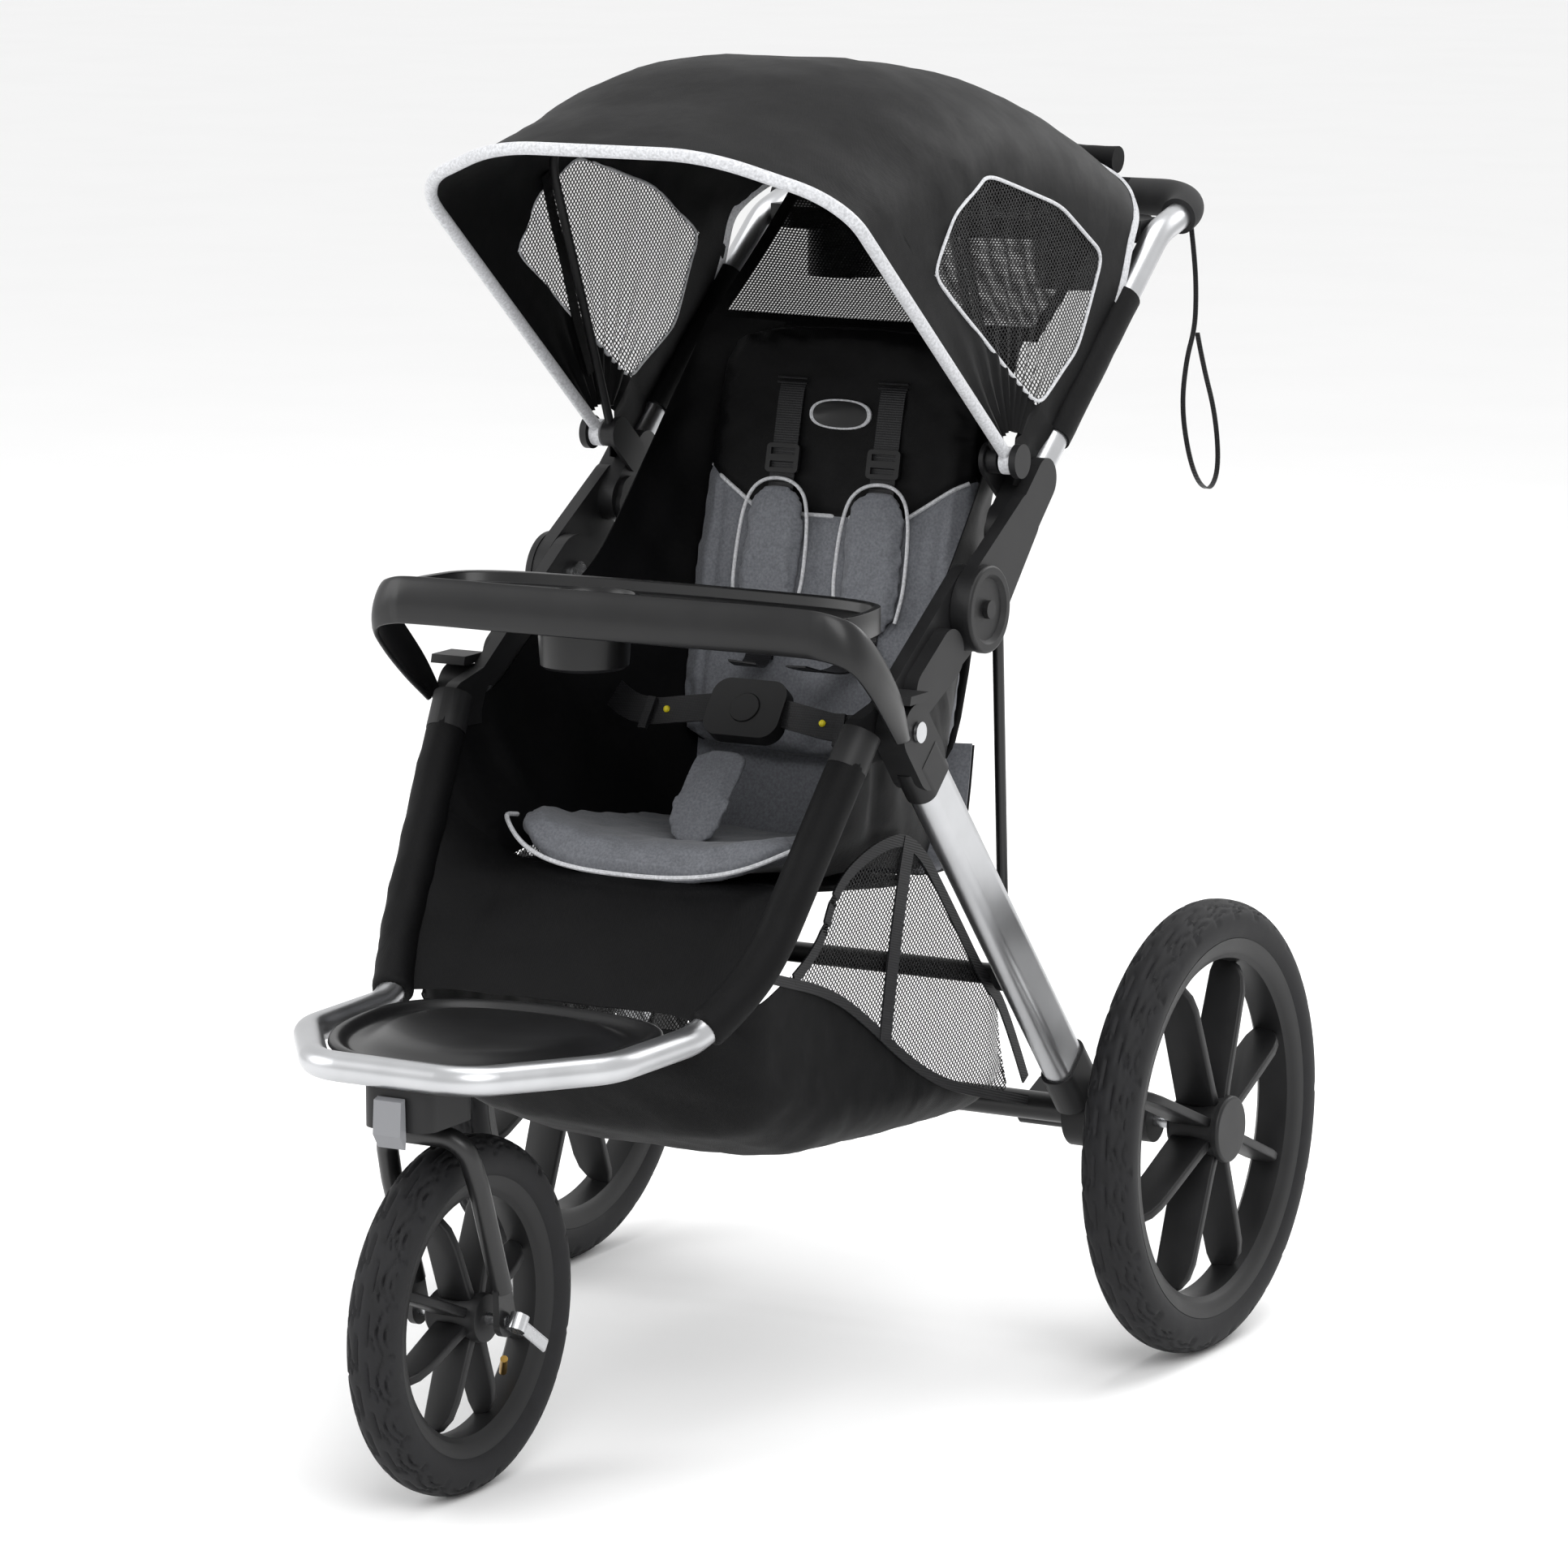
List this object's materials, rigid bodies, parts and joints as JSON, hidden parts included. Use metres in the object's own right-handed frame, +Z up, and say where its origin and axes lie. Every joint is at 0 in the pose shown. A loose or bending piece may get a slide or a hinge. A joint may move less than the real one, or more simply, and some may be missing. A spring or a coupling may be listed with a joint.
{
  "type": "jogging stroller",
  "caption": "Three-wheeled jogging stroller with a folding frame, swivelling front fork, ribbed canopy, reclining padded seat, child tray, parent tray and basket.",
  "frame": {"origin": "floor level below the middle of the stroller's box", "axes": "+Z up, -Y the way the stroller faces, +X to the child's left"},
  "size_m": [0.7224, 1.1369, 1.143],
  "materials": {
    "silver_tube": "satin anodised aluminium tube",
    "black_moulding": "fine-grained black nylon",
    "tray_plastic": "satin black moulding",
    "tray_socket": "black nylon",
    "tyre_rubber": "black rubber",
    "wheel_plastic": "satin black wheel moulding",
    "black_steel": "satin black powder coat",
    "bright_steel": "plated steel",
    "valve_brass": "bare brass",
    "black_fabric": "black woven polyester",
    "grey_fabric": "charcoal grey woven polyester",
    "mesh_fabric": "open black knitted mesh",
    "webbing": "black ribbed webbing",
    "foam": "black closed-cell foam",
    "grey_plastic": "grey nylon",
    "binding": "light grey binding"
  },
  "bodies": {
    "front_frame": {"front_tube": "silver_tube", "leg_sleeves": "black_fabric", "hub_arms": "black_moulding", "elbow_pins": "bright_steel", "footrest": "tray_plastic", "head_block": "black_moulding", "seat_pad": "grey_fabric", "seat_base": "black_fabric", "calf_panel": "black_fabric", "side_slings": "black_fabric", "basket": "black_fabric", "buckle": "black_moulding", "waist_straps": "webbing", "crotch_pad": "grey_fabric", "tray_sockets": "tray_socket"},
    "swivel_lock": {"swivel_lock": "grey_plastic"},
    "fork": {"fork": "black_steel", "steerer": "bright_steel", "front_axle": "bright_steel"},
    "quick_release": {"quick_release": "bright_steel"},
    "front_wheel": {"front_tyre": "tyre_rubber", "front_rim": "wheel_plastic", "front_valve": "valve_brass"},
    "rear_frame": {"rear_legs": "silver_tube", "leg_tops": "black_moulding", "cross_tube": "black_steel", "axle_housings": "black_moulding", "axle_tube": "black_steel", "rear_axle": "bright_steel", "brake_bar": "black_steel", "brake_brackets": "black_moulding"},
    "rear_left_wheel": {"rear_left_tyre": "tyre_rubber", "rear_left_rim": "wheel_plastic", "rear_left_hub_cap": "black_moulding"},
    "rear_right_wheel": {"rear_right_tyre": "tyre_rubber", "rear_right_rim": "wheel_plastic", "rear_right_hub_cap": "black_moulding"},
    "brake_pedal": {"brake_pedal": "black_moulding"},
    "link_rods": {"link_rods": "black_steel"},
    "handle_frame": {"handle_tube": "silver_tube", "foam_grip": "foam", "handle_brackets": "black_moulding", "hub_pins": "bright_steel", "hub_covers": "black_moulding", "parent_tray": "tray_plastic", "canopy_mounts": "black_moulding", "canopy_rear_panel": "black_fabric", "canopy_rear_mesh": "mesh_fabric", "wrist_strap": "webbing"},
    "canopy_mid": {"canopy_mid_bow": "black_moulding", "canopy_mid_panel": "black_fabric"},
    "canopy_front": {"canopy_brim": "binding", "canopy_front_panel": "black_fabric"},
    "seat_back": {"seat_back_pad": "grey_fabric", "seat_back_board": "black_fabric", "shoulder_pads": "grey_fabric", "shoulder_straps": "webbing", "strap_adjusters": "black_moulding"},
    "child_tray": {"child_tray": "tray_plastic"},
    "buckle_button": {"buckle_button": "black_moulding"}
  },
  "joints": [
    {"name": "frame_fold", "type": "hinge", "parent": "front_frame", "child": "handle_frame", "pos_m": [0, 0.096, 0.684], "axis": [-1, 0, 0], "range_deg": [0, 100], "deforming": ["basket", "canopy_rear_panel", "canopy_rear_mesh"]},
    {"name": "rear_leg_fold", "type": "hinge", "parent": "front_frame", "child": "rear_frame", "pos_m": [0, -0.05, 0.6], "axis": [-1, 0, 0], "range_deg": [0, 39]},
    {"name": "link_rod_swing", "type": "hinge", "parent": "rear_frame", "child": "link_rods", "pos_m": [0, 0.211, 0.339], "axis": [1, 0, 0], "range_deg": [0, 19.2]},
    {"name": "fork_swivel", "type": "hinge", "parent": "front_frame", "child": "fork", "pos_m": [0, -0.46, 0.33], "axis": [0, 0, 1], "continuous": true},
    {"name": "front_wheel_spin", "type": "hinge", "parent": "fork", "child": "front_wheel", "pos_m": [0, -0.407, 0.1495], "axis": [1, 0, 0], "continuous": true},
    {"name": "quick_release_lever", "type": "hinge", "parent": "fork", "child": "quick_release", "pos_m": [0.0545, -0.407, 0.1495], "axis": [0, -0.5708, -0.8211], "range_deg": [0, 80]},
    {"name": "swivel_lock_lever", "type": "hinge", "parent": "front_frame", "child": "swivel_lock", "pos_m": [0, -0.511, 0.35], "axis": [1, 0, 0], "range_deg": [-40, 0]},
    {"name": "rear_left_wheel_spin", "type": "hinge", "parent": "rear_frame", "child": "rear_left_wheel", "pos_m": [0.331, 0.298, 0.2025], "axis": [1, 0, 0], "continuous": true},
    {"name": "rear_right_wheel_spin", "type": "hinge", "parent": "rear_frame", "child": "rear_right_wheel", "pos_m": [-0.331, 0.298, 0.2025], "axis": [1, 0, 0], "continuous": true},
    {"name": "brake_pedal_press", "type": "hinge", "parent": "rear_frame", "child": "brake_pedal", "pos_m": [0.163, 0.338, 0.186], "axis": [1, 0, 0], "range_deg": [-25, 0]},
    {"name": "seat_recline", "type": "hinge", "parent": "front_frame", "child": "seat_back", "pos_m": [0, 0.187, 0.5], "axis": [1, 0, 0], "range_deg": [-30, 0]},
    {"name": "canopy_fold", "type": "hinge", "parent": "handle_frame", "child": "canopy_front", "pos_m": [0, 0.162, 0.804], "axis": [1, 0, 0], "range_deg": [-85, 0], "deforming": ["canopy_front_panel"]},
    {"name": "canopy_mid_fold", "type": "hinge", "parent": "handle_frame", "child": "canopy_mid", "pos_m": [0, 0.162, 0.804], "axis": [1, 0, 0], "range_deg": [-61.5, 0], "deforming": ["canopy_mid_panel", "canopy_rear_panel"]},
    {"name": "child_tray_swing", "type": "hinge", "parent": "front_frame", "child": "child_tray", "pos_m": [0.226, -0.056, 0.64], "axis": [0, 0, 1], "range_deg": [0, 100]},
    {"name": "buckle_button_press", "type": "slide", "parent": "front_frame", "child": "buckle_button", "axis": [0, 0.8, -0.6], "range_m": [0, 0.0018], "stiffness_N_per_m": 400}
  ],
  "couplings": [
    {"joint": "rear_leg_fold", "follows": "frame_fold", "ratio": 0.385},
    {"joint": "link_rod_swing", "follows": "frame_fold", "ratio": 0.187},
    {"joint": "canopy_mid_fold", "follows": "canopy_fold", "ratio": 0.72}
  ]
}
